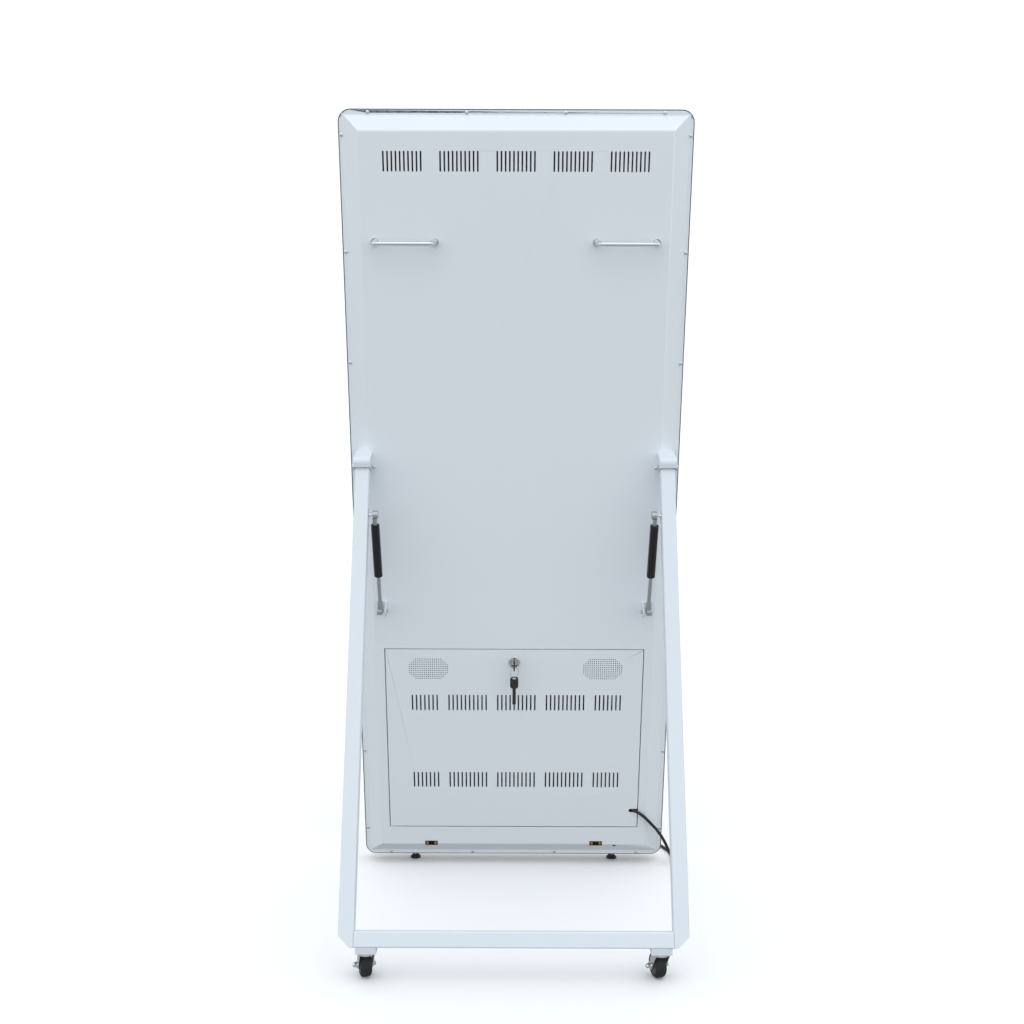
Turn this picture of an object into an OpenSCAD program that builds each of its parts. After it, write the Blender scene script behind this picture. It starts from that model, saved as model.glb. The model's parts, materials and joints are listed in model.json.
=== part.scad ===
// Free-standing touchscreen kiosk that leans on a folding rear stand with two castors.
// The screen faces -Y and the service side faces +Y. The floor is z = 0.

/* [Panel] */
// Overall width of the panel
panel_w = 700; // [560:5:840]
// Overall height of the panel along its slope
panel_h = 1680; // [1600:10:2000]
// Lean of the panel from vertical, in degrees
tilt = 12; // [6:1:16]
// Depth of the front section, from the glass to the rear flange
front_depth = 50; // [46:1:70]
// Radius of the panel's four corners
corner_r = 25; // [15:1:35]
// Height of the panel's rear bottom edge above the floor
ground_gap = 20; // [16:1:30]

/* [Rear shell] */
// Thickness of the sheet steel
sheet_t = 1.5; // [1:0.1:2]
// Width of the flat flange around the shell
flange_w = 11; // [10:0.5:14]
// Width of the bevel between flange and raised face
bevel_w = 30; // [24:1:40]
// Height of the raised face above the flange
rise = 22; // [20:1:30]
// How far the front frame shows around the shell
frame_reveal = 2.2; // [1.5:0.1:3]

/* [Vents] */
// Length of one vent slot
slot_len = 39; // [30:1:48]
// Width of one vent slot
slot_w = 3.2; // [2.4:0.1:4]
// Distance between slots in the top row
top_slot_pitch = 8.2; // [7:0.1:9]
// Distance between slots in the door rows
door_slot_pitch = 9.3; // [8:0.1:9.5]
// Distance between the top row's groups
top_group_pitch = 112; // [105:1:118]
// Distance from the panel's top edge to the middle of the top row
top_vent_drop = 98; // [80:1:120]

/* [Access door] */
// Width of the service door
door_w = 575; // [480:5:580]
// Height of the service door
door_h = 450; // [440:5:500]
// Height of the door's lower edge above the panel's lower edge
door_low = 89; // [86:1:110]
// Gap around the door
door_gap = 2; // [1.8:0.1:2.5]
// Depth of the door's folded edges
door_return = 12; // [10:1:14]
// Diameter of the door's pivot pins
door_pin_d = 4; // [3:0.5:5]

/* [Lock and keys] */
// Distance from the door's top edge to the lock
lock_drop = 30; // [28:1:36]
// Outer diameter of the lock's ring
lock_ring_d = 26; // [22:1:30]
// Diameter of the turning plug
plug_d = 13; // [11:0.5:14]
// Outer diameter of the key ring
key_ring_d = 27; // [24:1:32]

/* [Handles] */
// Distance between the two feet of a handle
handle_span = 120; // [100:5:140]
// Distance of each handle's middle from the centre line
handle_x = 222; // [200:1:225]
// Distance from the panel's lower edge to the handles
handle_up = 1427; // [1300:1:1450]
// How far the grip stands off the panel
handle_out = 38; // [30:1:50]
// Diameter of the handle's bar
handle_d = 9; // [8:0.5:12]

/* [Folding stand] */
// Side of the square tube
tube = 30; // [25:1:32]
// Wall of the square tube
tube_t = 2; // [1.5:0.5:3]
// Distance of each leg's middle from the centre line
leg_x = 318; // [314:1:322]
// Height of the stand's pivot along the panel
pivot_up = 968; // [900:1:1100]
// Height of the pivot above the flange
pivot_out = 50; // [48:1:60]
// Angle between panel and legs with the stand open
open_angle = 32; // [28:1:34]
// Diameter of the pivot bolt
pivot_bolt_d = 8; // [6:1:10]
// Size of the 45 degree cut at the stand's lower corners
corner_cut = 22; // [10:1:24]

/* [Gas struts] */
// Distance of each strut from the centre line
strut_x = 291; // [290:0.5:293]
// Distance from the pivot to the strut's ball on the leg
strut_down = 103; // [90:1:115]
// Height of the strut's ball on the panel, along the panel
strut_low = 642; // [630:1:660]
// Diameter of the strut's cylinder
strut_d = 18; // [16:1:19]
// Diameter of the strut's rod
strut_rod_d = 8; // [6:1:8]

/* [Castors] */
// Height from the floor to the stand's lower face
castor_h = 64; // [62:1:70]
// Diameter of the castor wheels
wheel_d = 48; // [40:1:48]
// Width of the castor wheels
wheel_w = 24; // [18:1:26]
// Distance of each castor from the centre line
castor_x = 280; // [250:1:285]
// Distance from the swivel axis to the axle
trail = 16; // [12:1:18]
// Angle to which the castors are turned, in degrees
castor_turn = 15; // [0:1:30]

/* [Levelling feet] */
// Distance of each foot from the centre line
foot_x = 235; // [200:1:260]
// Diameter of a foot's pad
foot_d = 24; // [20:1:30]
// Diameter of a foot's threaded stud
foot_stud_d = 10; // [8:1:10]

/* [Power cord] */
// Diameter of the cord
cord_d = 7; // [6:0.5:8]
// Diameter at the middle of the coil's turns
coil_d = 77; // [70:1:84]

/* [Hidden] */
$fn = 48;
FINE = 96;          // sides given to round features that carry a fit
RUN = 0.05;         // radial running clearance of pins, bolts and axles
CLEAR = 0.3;        // gap between pieces that only lie beside each other
OVER = 1;           // how far a cutter passes through a face
BOTH = [-1, 1];     // the two sides; +1 is the left as seen from the front

WHITE = [0.86, 0.89, 0.92];
LEG_WHITE = [0.91, 0.93, 0.96];
GRAPHITE = [0.20, 0.21, 0.22];
BLACK = [0.03, 0.03, 0.035];
DARK = [0.08, 0.08, 0.09];
CHROME = [0.82, 0.83, 0.85];
STEEL = [0.62, 0.63, 0.65];
BRASS = [0.78, 0.62, 0.28];
NYLON = [0.90, 0.89, 0.84];

// Shell outline
shell_w = panel_w - 2 * frame_reveal;
shell_h = panel_h - 2 * frame_reveal;
bevel_foot_w = panel_w - 2 * flange_w;
bevel_foot_h = panel_h - 2 * flange_w;
face_w = bevel_foot_w - 2 * bevel_w;
face_h = bevel_foot_h - 2 * bevel_w;
panel_mid = panel_h / 2;
bevel_slope = bevel_w / rise;
sheet_drop = sheet_t * sqrt(1 + 1 / (bevel_slope * bevel_slope));

// Front stack, measured along the panel's rear normal from the flange
frame_t = 2.5;
ledge_w = 14;
ledge_t = 3;
glass_t = 4;
glass_in = 0.5;
touch_t = 7;
display_t = 20;
rail_t = 2;
stack_gap = 0.2;
glass_y = glass_in - front_depth;
touch_y = glass_y + glass_t + stack_gap;
display_y = touch_y + touch_t + stack_gap;
rail_y = display_y + display_t + stack_gap;
cross_y = rail_y + rail_t + stack_gap;
plate_y = cross_y + rail_t + stack_gap;
display_w = 645;
display_h = 1125;
touch_w = 665;
touch_h = 1150;
touch_bar = 14;
display_mid = panel_h - 628;

// Screws round the flange
screw_d = 4;
screw_head_d = 7.4;
screw_head_t = 2.6;
screw_in = (frame_reveal + flange_w) / 2;
top_screw_pitch = 194;
side_screw_pitch = 226;
side_screw_drop = 49;
side_screw_low = 71;

// Door
door_mid = door_low + door_h / 2;
hole_w = door_w + 2 * door_gap;
hole_h = door_h + 2 * door_gap;
lip_w = 16;
lip_y = 6;
lip_wall = 2;
pin_in = 4;
pin_s = door_low + pin_in;
pin_y = rise - pin_in;
pin_len = 14;
door_row_high = door_h - 130.5;
door_row_low = 123;
group_x = [-206.5, -110, 0, 110, 206.5];
group_n = [7, 10, 10, 10, 7];
group_off = -5;
notch_len = 20;
notch_h = 9.5;
notch_up = 42.5;
cord_room = 2;
grille_x = 195;
grille_off = -3;
grille_up = door_h - 47;
grille_pitch = 4.7;
grille_hole_d = 2.7;
grille_cols = 19;
grille_rows = 11;

// Lock
lock_s = door_low + door_h - lock_drop;
barrel_d = 19;
cam_y = 2.6;
cam_t = 2;
cam_len = 40;
cam_w = 16;
barrel_back = cam_y + cam_t + CLEAR;
ring_t = 2.5;
plug_out = 1.2;
nut_t = 3;
blade_w = 8;
blade_t = 2;
bow_near = 11;
bow_far = 34;
bow_r = 10.5;
bow_t = 3;
bow_hole_out = 27.5;
bow_hole_d = 6.4;
wire_d = 2;
ring_turn = 45;
ring_r = (key_ring_d - wire_d) / 2;

// Stand
stand_lean = open_angle - tilt;
pivot_y = pivot_up * sin(tilt) + pivot_out * cos(tilt);
pivot_z = ground_gap + pivot_up * cos(tilt) - pivot_out * sin(tilt);
leg_len = (pivot_z - castor_h) / cos(stand_lean) - tube / 2;
base_y = pivot_y + (leg_len + tube / 2) * sin(stand_lean);
tube_r = 3;
bracket_t = 2.2;
bracket_gap = 0.6;
bracket_up = 25;
bracket_low = 10;
cap_low = 5;
cap_y = pivot_out + tube / 2 / cos(open_angle) + 1.5;
cap_r = 12;
bush_d = pivot_bolt_d + 4;
bolt_side = tube / 2 + bracket_gap + bracket_t;
bracket_screw_d = 5;
bracket_screw_s = 15;

// Castors
pad_w = 40;
pad_drop = 8.6;
fork_t = 2;
fork_top_t = 3;
fork_top = castor_h - pad_drop - CLEAR;
fork_gap = wheel_w + 2;
fork_top_r = fork_gap / 2 + fork_t + 1;
rear_reach = base_y + fork_top_r;
front_reach = -front_depth * cos(tilt);
origin_y = (rear_reach + front_reach) / 2;
axle_d = 6;
axle_z = wheel_d / 2;
stem_d = 8;

// Struts: ends on the leg and on the panel, in the panel's frame
ball_d = 10;
ball_y = pivot_out;
leg_ball_s = pivot_up - strut_down * cos(open_angle);
leg_ball_y = pivot_out + strut_down * sin(open_angle);
strut_run_s = leg_ball_s - strut_low;
strut_run_y = leg_ball_y - ball_y;
strut_len = sqrt(strut_run_s * strut_run_s + strut_run_y * strut_run_y);
strut_angle = atan2(strut_run_y, strut_run_s);
cyl_near = 25;
cyl_far = 152;
cyl_bore_d = strut_rod_d + 4.8;
rod_tip = 68;
end_fit_len = 19;
socket_d = 17;
tab_t = 3;
tab_in = 9;

// Levelling feet
foot_y = -front_depth / 2;
foot_ball_d = 10;
foot_ball_z = 8;
foot_ball_s = (foot_ball_z - ground_gap + foot_y * sin(tilt)) / cos(tilt);
foot_ball_y = foot_y;
socket_len = 26;
foot_world_y = foot_ball_s * sin(tilt) + foot_y * cos(tilt);

// Contact windows and the small cable hole near the lower edge
window_x = 193;
window_s = 43.5;
window_w = 29;
window_h = 11;
small_hole_x = -237;
small_hole_s = 34;

// Power cord: where it leaves the door's notch, and its route down to the coil
grommet_d = 7.8;
exit_at = [-285, 24.2, 130.9];
exit_polar = 99.8;
exit_turn = 144.3;
grommet_len = 23;
CORD = [[-285, -220.2, 143], [-297.9, -215, 136], [-309.3, -217.1, 125.5],
        [-319.4, -220.4, 114.1], [-329.5, -224.2, 102.7], [-338.8, -227.8, 90.5],
        [-347.2, -231.1, 77.6], [-354.6, -234.1, 64.1], [-361.1, -236.8, 50],
        [-366.9, -242.2, 36.4], [-372.1, -250.9, 24.5], [-376.3, -262.4, 14.7],
        [-379.3, -276.2, 7.8], [-380.9, -291.4, 4.1], [-381, -307.1, 3.5],
        [-379.2, -322.7, 3.5], [-375.3, -337.9, 3.5], [-369.6, -352.6, 3.5],
        [-362.9, -366.8, 3.5], [-355.9, -380.9, 3.5], [-349.5, -395.3, 3.5],
        [-344.5, -410.2, 3.5], [-341.5, -425.6, 3.5], [-340.5, -441.3, 3.5]];
CORD_START = [-0.8, 0.526, -0.286];
CORD_END = [0, -1, 0];
coil_centre = [-298.5, -441.3, 0];
coil_rows = 2;
coil_layers = 3;
plug_z = 10.5;
tail_len = 34;

// ---------------------------------------------------------------- frames
// Panel frame: x across, y out of the rear face, z up along the panel.
module in_panel() {
    translate([0, -origin_y, ground_gap])
        rotate([-tilt, 0, 0]) children();
}

// Stand frame: origin on the pivot, z up along the legs, y out to the rear.
module in_stand() {
    translate([0, pivot_y - origin_y, pivot_z])
        rotate([stand_lean, 0, 0]) children();
}

// Castor frame: origin on the floor under the swivel, turned to its rest angle.
module in_castor(side) {
    translate([side * castor_x, base_y - origin_y, 0])
        rotate([0, 0, castor_turn]) children();
}

// Strut frame: origin at the ball on the leg, z down along the strut.
module in_strut(side) {
    in_panel()
        translate([side * strut_x, leg_ball_y, leg_ball_s])
            rotate([180 - strut_angle, 0, 0]) children();
}

// ---------------------------------------------------------------- helpers
module rounded(w, h, r) {
    union() {
        square([w - 2 * r, h], center = true);
        square([w, h - 2 * r], center = true);
        for (x = BOTH, y = BOTH)
            translate([x * (w / 2 - r), y * (h / 2 - r)]) circle(r, $fn = 48);
    }
}

// Plate in the panel's plane: its outline is given as [x, z], from y0 for t.
module plate(y0, t) {
    translate([0, y0 + t, 0]) rotate([90, 0, 0]) linear_extrude(t) children();
}

// Cylinder that points out of the panel's rear face.
module stud_y(x, z, y0, y1, d, f = FINE) {
    translate([x, y0, z]) rotate([-90, 0, 0]) cylinder(d = d, h = y1 - y0, $fn = f);
}

// Cylinder along X.
module stud_x(x0, x1, y, z, d, f = FINE) {
    translate([x0, y, z]) rotate([0, 90, 0]) cylinder(d = d, h = x1 - x0, $fn = f);
}

module slot(len, w) {
    union() {
        square([w, len - w], center = true);
        for (s = BOTH) translate([0, s * (len - w) / 2]) circle(d = w, $fn = 24);
    }
}

module slot_group(n, pitch) {
    for (i = [0 : n - 1])
        translate([(i - (n - 1) / 2) * pitch, 0]) slot(slot_len, slot_w);
}

// Where every flange screw sits, as [x, z] in the panel's frame.
function side_heights() = concat(
    [for (i = [0 : 6]) panel_h - side_screw_drop - i * side_screw_pitch * panel_h / 1680],
    [side_screw_low]);
function screw_places() = concat(
    [for (x = BOTH, s = side_heights()) [x * (panel_w / 2 - screw_in), s]],
    [for (i = [-1.5 : 1.5], s = [screw_in, panel_h - screw_in]) [i * top_screw_pitch, s]]);

// ---------------------------------------------------------------- panel
module frustum(grow, y0, y1) {
    // Solid under the bevel's planes, moved by grow along the panel's normal.
    hull() {
        translate([0, y0, panel_mid])
            cube([bevel_foot_w - 2 * (y0 - grow) * bevel_slope, 0.01,
                  bevel_foot_h - 2 * (y0 - grow) * bevel_slope], center = true);
        translate([0, y1, panel_mid])
            cube([bevel_foot_w - 2 * (y1 - grow) * bevel_slope, 0.01,
                  bevel_foot_h - 2 * (y1 - grow) * bevel_slope], center = true);
    }
}

module window_outline(grow) {
    union() {
        translate([0, window_s]) square([window_w + grow, window_h + grow], center = true);
    }
}

module shell_cutouts() {
    translate([0, door_mid]) square([hole_w, hole_h], center = true);
    translate([0, panel_h - top_vent_drop])
        for (i = [-2 : 2]) translate([i * top_group_pitch, 0])
            slot_group(10, top_slot_pitch);
    for (x = BOTH) translate([x * window_x, 0]) window_outline(0.4);
    for (x = BOTH, s = [-handle_span / 2, handle_span / 2])
        translate([x * handle_x + s, handle_up]) circle(d = 5.2, $fn = 24);
    for (x = BOTH) translate([x * leg_x, pivot_up + bracket_screw_s])
        circle(d = bracket_screw_d + 0.2, $fn = 24);
    for (x = BOTH) translate([x * (strut_x - tab_in + 8), strut_low])
        circle(d = bracket_screw_d + 0.2, $fn = 24);
}

module rear_shell() {
    color(WHITE) in_panel() difference() {
        union() {
            plate(-sheet_t, sheet_t)
                translate([0, panel_mid])
                    rounded(shell_w, shell_h, corner_r - frame_reveal);
            frustum(0, -sheet_t / 2, rise);
        }
        frustum(-sheet_drop, -sheet_t - OVER, rise - sheet_t);
        plate(-rise, 3 * rise) shell_cutouts();
        stud_y(small_hole_x, small_hole_s, -rise, 2 * rise, 8, 24);
        for (p = screw_places())
            stud_y(p[0], p[1], -3 * sheet_t, sheet_t, screw_d + 2 * RUN);
    }
}

module front_frame() {
    color(GRAPHITE) in_panel() difference() {
        plate(-front_depth, front_depth - CLEAR)
            translate([0, panel_mid]) rounded(panel_w, panel_h, corner_r);
        // Room for the glass and everything behind it
        plate(-front_depth - OVER, front_depth - sheet_t - ledge_t + OVER)
            translate([0, panel_mid])
                rounded(panel_w - 2 * frame_t, panel_h - 2 * frame_t, corner_r - frame_t);
        // Opening inside the screw ledge
        plate(-front_depth - OVER, front_depth + 2 * OVER)
            translate([0, panel_mid])
                rounded(panel_w - 2 * ledge_w, panel_h - 2 * ledge_w, corner_r - frame_t);
        // Seat of the rear shell's flange
        plate(-sheet_t - 0.1, 2 * sheet_t)
            translate([0, panel_mid])
                rounded(shell_w + 0.2, shell_h + 0.2, corner_r - frame_reveal);
        for (p = screw_places())
            stud_y(p[0], p[1], -3 * ledge_t, sheet_t, screw_d + 2 * RUN);
        for (x = BOTH)
            translate([x * foot_x, foot_y, -OVER])
                cylinder(d = foot_stud_d + 1, h = frame_t + 2 * OVER, $fn = FINE);
    }
}

module front_glass() {
    color(BLACK) in_panel()
        plate(glass_y, glass_t)
            translate([0, panel_mid])
                rounded(panel_w - 2 * frame_t - 2 * CLEAR, panel_h - 2 * frame_t - 2 * CLEAR,
                        corner_r - frame_t - CLEAR);
}

module touch_frame() {
    color(DARK) in_panel()
        plate(touch_y, touch_t)
            translate([0, display_mid]) difference() {
                square([touch_w, touch_h], center = true);
                square([touch_w - 2 * touch_bar, touch_h - 2 * touch_bar], center = true);
            }
}

module display_panel() {
    color(DARK) in_panel()
        plate(display_y, display_t)
            translate([0, display_mid]) rounded(display_w, display_h, 4);
}

module display_rails() {
    color(STEEL) in_panel() {
        for (x = BOTH)
            plate(rail_y, rail_t)
                translate([x * 170, display_mid]) square([40, display_h - 60], center = true);
        for (s = [-450, 0, 450])
            plate(cross_y, rail_t)
                translate([0, display_mid + s])
                    square([panel_w - 2 * ledge_w - 4, 36], center = true);
    }
}

module mounting_plate() {
    color(STEEL) in_panel()
        plate(plate_y, sheet_t) difference() {
            translate([0, door_mid]) rounded(door_w - 40, door_h - 60, 8);
            for (x = BOTH, s = BOTH)
                translate([x * (door_w / 2 - 40), door_mid + s * (door_h / 2 - 50)])
                    circle(d = 6, $fn = 24);
        }
}

module mini_pc() {
    color(DARK) in_panel()
        plate(plate_y + sheet_t + stack_gap, 22)
            translate([-125, door_low + 220]) difference() {
                rounded(170, 170, 10);
                for (i = [-4 : 4]) translate([i * 10, 0]) square([4, 90], center = true);
            }
}

module power_supply() {
    color(STEEL) in_panel()
        plate(plate_y + sheet_t + stack_gap, 26)
            translate([120, door_low + 220]) difference() {
                square([190, 100], center = true);
                for (i = [-5 : 5], j = [-2 : 2])
                    translate([i * 9, j * 12]) circle(d = 5, $fn = 8);
            }
}

module shell_screws() {
    color(CHROME) in_panel()
        for (p = screw_places()) {
            stud_y(p[0], p[1], -sheet_t - ledge_t - 4, 0.02, screw_d, 24);
            stud_y(p[0], p[1], 0.02, screw_head_t, screw_head_d, 24);
        }
}

// ---------------------------------------------------------------- door
module door_frame() {
    // Seat of the door at its top and sides, with side ears for the pins.
    inner = rise - sheet_t;
    color(WHITE) in_panel() difference() {
        union() {
            plate(lip_y, inner - lip_y - 0.05)
                translate([0, door_mid])
                    square([hole_w + 2 * lip_wall, hole_h + 2 * lip_wall], center = true);
        }
        plate(lip_y + lip_wall, rise)
            translate([0, door_mid]) square([hole_w, hole_h], center = true);
        plate(lip_y - OVER, rise)
            translate([0, door_mid - lip_w])
                square([hole_w - 2 * lip_w, hole_h], center = true);
        plate(lip_y - OVER, rise)
            translate([0, door_low - door_gap + 30])
                square([hole_w, 60], center = true);
        for (x = BOTH)
            stud_x(x * door_w / 2 - 20, x * door_w / 2 + 20, pin_y, pin_s,
                   door_pin_d + 0.04);
    }
}

module grille_holes() {
    for (i = [0 : grille_cols - 1], j = [0 : grille_rows - 1]) {
        u = i - (grille_cols - 1) / 2;
        v = j - (grille_rows - 1) / 2;
        beyond = max(0, abs(u) - (grille_cols - grille_rows) / 2);
        if (beyond * beyond + v * v <= grille_rows * grille_rows / 4)
            translate([u * grille_pitch, v * grille_pitch])
                circle(d = grille_hole_d, $fn = 6);
    }
}

module access_door() {
    color(WHITE) in_panel() difference() {
        union() {
            plate(rise - sheet_t, sheet_t) difference() {
                translate([0, door_mid]) rounded(door_w, door_h, 2);
                for (k = [0 : 4])
                    for (s = [door_row_low, door_row_high])
                        translate([group_x[k] + group_off, door_low + s])
                            slot_group(group_n[k], door_slot_pitch);
                for (x = BOTH)
                    translate([x * grille_x + grille_off, door_low + grille_up]) grille_holes();
            }
            plate(rise - door_return, door_return - sheet_t / 2)
                translate([0, door_mid]) difference() {
                    square([door_w - 0.4, door_h - 0.4], center = true);
                    square([door_w - 2 * sheet_t, door_h - 2 * sheet_t], center = true);
                }
        }
        // Notch for the power cord, open at the door's edge
        translate([-door_w / 2 - OVER, rise - door_return + 2,
                   door_low + notch_up - notch_h / 2])
            cube([notch_len + OVER - notch_h / 2, 2 * rise, notch_h]);
        stud_y(-door_w / 2 + notch_len - notch_h / 2, door_low + notch_up,
               rise - door_return + 2, 2 * rise, notch_h);
        // The side edge is open all the way there, so that the door tips past the cord
        translate([-door_w / 2 - OVER, rise - door_return - OVER,
                   door_low + notch_up - notch_h / 2 - cord_room])
            cube([sheet_t + 2 * OVER, door_return + OVER - sheet_t, notch_h + 2 * cord_room]);
        stud_y(0, lock_s, 0, 2 * rise, barrel_d + 2 * RUN);
        for (x = BOTH)
            stud_x(x * door_w / 2 - 5, x * door_w / 2 + 5, pin_y, pin_s,
                   door_pin_d + 2 * RUN);
    }
}

module door_pins() {
    color(STEEL) in_panel()
        for (x = BOTH)
            stud_x(x > 0 ? door_w / 2 - 8 : -door_w / 2 - 6,
                   x > 0 ? door_w / 2 + 6 : -door_w / 2 + 8,
                   pin_y, pin_s, door_pin_d);
}

module speaker(side) {
    color(DARK) in_panel() {
        plate(rise - sheet_t - 14, 14 - 0.1)
            translate([side * grille_x + grille_off, door_low + grille_up])
                rounded(100, 60, 20);
        stud_y(side * grille_x + grille_off, door_low + grille_up, rise - sheet_t - 25,
               rise - sheet_t - 14, 44, 48);
    }
}

// ---------------------------------------------------------------- lock
module lock_barrel() {
    color(CHROME) in_panel() difference() {
        union() {
            stud_y(0, lock_s, rise + 0.02, rise + ring_t, lock_ring_d);
            stud_y(0, lock_s, barrel_back, rise + 0.5, barrel_d);
        }
        stud_y(0, lock_s, 0, 2 * rise, plug_d + 2 * RUN);
    }
}

module lock_nut() {
    color(STEEL) in_panel() difference() {
        stud_y(0, lock_s, rise - sheet_t - nut_t - 0.05, rise - sheet_t - 0.05,
               barrel_d + 8, 6);
        stud_y(0, lock_s, 0, 2 * rise, barrel_d + 2 * RUN);
    }
}

module lock_plug() {
    color(CHROME) in_panel() difference() {
        stud_y(0, lock_s, cam_y + cam_t + 0.05, rise + ring_t + plug_out, plug_d);
        translate([-blade_t / 2 - 0.1, barrel_back + 4, lock_s - blade_w / 2 - 0.1])
            cube([blade_t + 0.2, 2 * rise, blade_w + 0.2]);
    }
}

module lock_cam() {
    color(STEEL) in_panel()
        plate(cam_y, cam_t) translate([0, lock_s]) union() {
            circle(d = cam_w + 4, $fn = 48);
            translate([0, -cam_w / 2]) square([cam_len - cam_w / 2, cam_w]);
            translate([cam_len - cam_w / 2, 0]) circle(d = cam_w, $fn = 48);
        }
}

module service_key() {
    face = rise;
    color(BLACK) in_panel() translate([0, 0, lock_s]) difference() {
        union() {
            translate([-blade_t / 2, barrel_back + 6, -blade_w / 2])
                cube([blade_t, face + bow_near - barrel_back - 5, blade_w]);
            translate([-bow_t / 2, 0, 0]) rotate([90, 0, 90]) linear_extrude(bow_t) union() {
                translate([face + bow_near + bow_r, 0]) circle(bow_r, $fn = 64);
                translate([face + bow_far - bow_r, 0]) circle(bow_r, $fn = 64);
                translate([face + bow_near + bow_r, -bow_r])
                    square([max(0.1, bow_far - bow_near - 2 * bow_r), 2 * bow_r]);
            }
        }
        stud_x(-5, 5, face + bow_hole_out, 0, bow_hole_d);
    }
}

// Hanging point of the key ring: the middle of the hole in the key's bow.
hang_y = lock_s * sin(tilt) + (rise + bow_hole_out) * cos(tilt) - origin_y;
hang_z = ground_gap + lock_s * cos(tilt) - (rise + bow_hole_out) * sin(tilt);

module key_ring() {
    color(STEEL) translate([0, hang_y, hang_z - ring_r]) rotate([0, 0, ring_turn])
        rotate([90, 0, 0]) rotate_extrude($fn = FINE)
            translate([ring_r, 0]) circle(d = wire_d, $fn = 24);
}

module spare_key() {
    bow_w = 18;
    bow_h = 27;
    key_t = 2.5;
    eye = 4;
    color(BLACK) translate([0, hang_y + key_t / 2, hang_z - 2 * ring_r])
        rotate([90, 0, 0]) linear_extrude(key_t) difference() {
            union() {
                translate([0, eye - bow_h / 2]) rounded(bow_w, bow_h, 6);
                translate([-blade_w / 2, eye - bow_h - 36]) square([blade_w, 38]);
            }
            square([8.4 - 4, 4.4], center = true);
            for (s = BOTH) translate([s * 2, 0]) circle(d = 4.4, $fn = 24);
        }
}

// ---------------------------------------------------------------- handles
module handle(side) {
    bend = 14;
    half = handle_span / 2;
    color(CHROME) in_panel() translate([side * handle_x, 0, handle_up]) difference() {
        union() {
            for (s = BOTH) {
                stud_y(s * half, 0, rise + 0.02, rise + 2.5, 16);
                stud_y(s * half, 0, rise + 2, rise + handle_out - bend, handle_d, 48);
                translate([s * (half - bend), rise + handle_out - bend, 0])
                    rotate([0, 0, s > 0 ? 0 : 90])
                        rotate_extrude(angle = 90, $fn = FINE)
                            translate([bend, 0]) circle(d = handle_d, $fn = 48);
            }
            stud_x(bend - half, half - bend, rise + handle_out, 0, handle_d, 48);
        }
        for (s = BOTH) stud_y(s * half, 0, 0, rise + 12, 5 + 2 * RUN);
    }
}

module handle_screws() {
    color(STEEL) in_panel()
        for (x = BOTH, s = BOTH) {
            px = x * handle_x + s * handle_span / 2;
            stud_y(px, handle_up, rise - sheet_t - 3.5, rise - sheet_t - 0.02, 10, 48);
            stud_y(px, handle_up, rise - sheet_t - 0.02, rise + 10, 5, 48);
        }
}

// ---------------------------------------------------------------- pivots
module bracket_outline() {
    // Side view as [y, z], with z measured from the pivot.
    base = rise + 0.05;
    far = cap_y + bracket_t;
    union() {
        polygon([[base, -bracket_low], [pivot_out, -bracket_low], [far, cap_low],
                 [far, bracket_up - cap_r], [far - cap_r, bracket_up], [base, bracket_up]]);
        translate([far - cap_r, bracket_up - cap_r]) circle(cap_r, $fn = 64);
    }
}

module bracket_room() {
    // Space for the leg between the bracket's two ears, open below.
    near = rise + bracket_t;
    high = bracket_up - bracket_t;
    union() {
        polygon([[near, -2 * bracket_low], [2 * cap_y, -2 * bracket_low],
                 [2 * cap_y, cap_low], [cap_y, cap_low], [cap_y, bracket_up - cap_r],
                 [cap_y + bracket_t - cap_r, high],
                 [near, high]]);
        translate([cap_y + bracket_t - cap_r, bracket_up - cap_r])
            circle(cap_r - bracket_t, $fn = 64);
    }
}

module pivot_bracket(side) {
    outer = 2 * bolt_side;
    inner = tube + 2 * bracket_gap;
    edge = face_w / 2 - leg_x;
    drop = (bolt_side - edge) / bevel_slope;
    color(LEG_WHITE) in_panel() translate([side * leg_x, 0, pivot_up]) difference() {
        union() {
            translate([-outer / 2, 0, 0]) rotate([90, 0, 90]) linear_extrude(outer)
                bracket_outline();
            // Foot that follows the bevel under the bracket
            translate([0, 0, -bracket_low]) linear_extrude(bracket_low + bracket_up)
                polygon([[side * edge, rise + 0.05], [side * bolt_side, rise + 0.05 - drop],
                         [side * bolt_side, rise + 1], [side * edge, rise + 1]]);
        }
        translate([-inner / 2, 0, 0]) rotate([90, 0, 90]) linear_extrude(inner)
            bracket_room();
        stud_x(-outer, outer, pivot_out, 0, pivot_bolt_d + 2 * RUN);
        stud_y(0, bracket_screw_s, -rise, rise + 3 * bracket_t, bracket_screw_d + 0.2);
    }
}

module bracket_screws() {
    nut_top = rise - (leg_x + 5 - face_w / 2) / bevel_slope - sheet_drop - 0.2;
    color(STEEL) in_panel()
        for (x = BOTH) {
            stud_y(x * leg_x, pivot_up + bracket_screw_s, nut_top - 3, nut_top, 9, 24);
            stud_y(x * leg_x, pivot_up + bracket_screw_s, nut_top - 1,
                   rise + bracket_t + 0.1, bracket_screw_d, 24);
            stud_y(x * leg_x, pivot_up + bracket_screw_s, rise + bracket_t + 0.05,
                   rise + bracket_t + 3, 9, 24);
        }
}

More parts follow.
